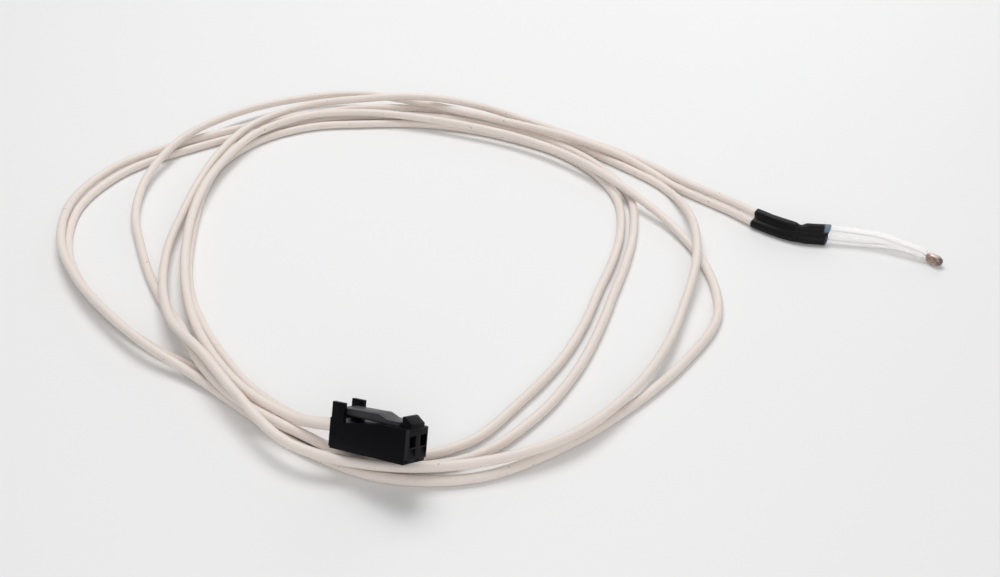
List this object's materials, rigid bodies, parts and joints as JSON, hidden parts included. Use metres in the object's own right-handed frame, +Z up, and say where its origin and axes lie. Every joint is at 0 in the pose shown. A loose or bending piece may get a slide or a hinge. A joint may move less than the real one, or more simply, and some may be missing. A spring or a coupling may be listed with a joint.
{
  "type": "bead thermistor",
  "caption": "Glass bead temperature sensor on two sleeved leads, spliced under shrink tube to a long coiled pair of white wires that end in a latching two-way plug.",
  "frame": {"origin": "centre of the base of the sensor head's box: the bead, its sleeves and the shrink tube, without the wires and the plug", "axes": "+X along the head towards the bead's tip, +Z up from the table that the wires lie on"},
  "size_m": [0.1588, 0.1113, 0.0122],
  "materials": {
    "bead_glass": "clear glass over a brown body",
    "chip_ceramic": "fired oxide",
    "plated_lead": "plated wire",
    "clear_sleeve": "milky translucent tube",
    "splice": "tinned",
    "shrink_tube": "black, half gloss",
    "wire_jacket": "warm white jacket with faint marks of handling",
    "plug_plastic": "black moulded plastic",
    "terminal_metal": "tin plated"
  },
  "bodies": {
    "root": {"glass_bead": "bead_glass", "thermistor_chip": "chip_ceramic", "bead_lead_1": "plated_lead", "bead_lead_2": "plated_lead", "sleeve_1": "clear_sleeve", "sleeve_2": "clear_sleeve", "splice_barrel_1": "splice", "splice_barrel_2": "splice", "conductor_end_1": "plated_lead", "conductor_end_2": "plated_lead", "heat_shrink": "shrink_tube", "lead_wire_1": "wire_jacket", "lead_wire_2": "wire_jacket", "connector_housing": "plug_plastic", "terminal_1": "terminal_metal", "terminal_2": "terminal_metal"}
  },
  "joints": []
}
